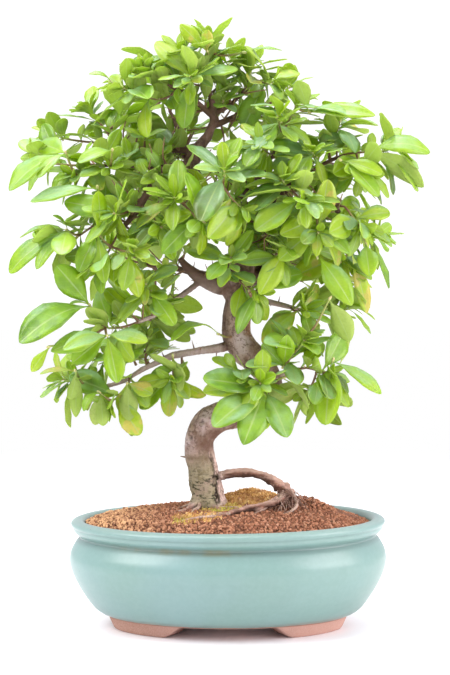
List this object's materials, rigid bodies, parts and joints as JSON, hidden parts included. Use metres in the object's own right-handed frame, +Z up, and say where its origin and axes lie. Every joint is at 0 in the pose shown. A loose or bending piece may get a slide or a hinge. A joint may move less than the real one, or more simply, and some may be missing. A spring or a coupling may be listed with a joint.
{
  "type": "potted bonsai tree",
  "caption": "Pyracantha bonsai with an S-curved trunk, an exposed arching root and glossy leaf sprays, growing in a low oval celadon-glazed pot on feet.",
  "frame": {"origin": "middle of the whole object's box, at the bottom of the pot's feet", "axes": "+Z up along the tree, +X to the right along the pot's length as seen in the picture, -Y towards the viewer"},
  "size_m": [0.3318, 0.2344, 0.5023],
  "materials": {
    "celadon_glaze": "gloss",
    "soil": "matte",
    "bark": "matte",
    "leaf": "satin",
    "screen_plastic": "matte"
  },
  "bodies": {
    "root": {"pot": "celadon_glaze", "soil": "soil", "wood": "bark", "drainage_screen_left": "screen_plastic", "drainage_screen_right": "screen_plastic", "leafy_spray_01": "leaf", "leafy_spray_02": "leaf", "leafy_spray_03": "leaf", "leafy_spray_04": "leaf", "leafy_spray_05": "leaf", "leafy_spray_06": "leaf", "leafy_spray_07": "leaf", "leafy_spray_08": "leaf", "leafy_spray_09": "leaf", "leafy_spray_10": "leaf", "leafy_spray_11": "leaf", "leafy_spray_12": "leaf", "leafy_spray_13": "leaf", "leafy_spray_14": "leaf", "leafy_spray_15": "leaf", "leafy_spray_16": "leaf", "leafy_spray_17": "leaf", "leafy_spray_18": "leaf", "leafy_spray_19": "leaf", "leafy_spray_20": "leaf", "leafy_spray_21": "leaf", "leafy_spray_22": "leaf", "leafy_spray_23": "leaf", "leafy_spray_24": "leaf", "leafy_spray_25": "leaf", "leafy_spray_26": "leaf", "leafy_spray_27": "leaf", "leafy_spray_28": "leaf", "leafy_spray_29": "leaf", "leafy_spray_30": "leaf", "leafy_spray_31": "leaf", "leafy_spray_32": "leaf", "leafy_spray_33": "leaf", "leafy_spray_34": "leaf", "leafy_spray_35": "leaf", "leafy_spray_36": "leaf", "leafy_spray_37": "leaf", "leafy_spray_38": "leaf", "leafy_spray_39": "leaf", "leafy_spray_40": "leaf", "leafy_spray_41": "leaf", "leafy_spray_42": "leaf", "leafy_spray_43": "leaf", "leafy_spray_44": "leaf", "leafy_spray_45": "leaf", "leafy_spray_46": "leaf", "leafy_spray_47": "leaf", "leafy_spray_48": "leaf", "leafy_spray_49": "leaf", "leafy_spray_50": "leaf", "leafy_spray_51": "leaf", "leafy_spray_52": "leaf", "leafy_spray_53": "leaf"}
  },
  "joints": []
}
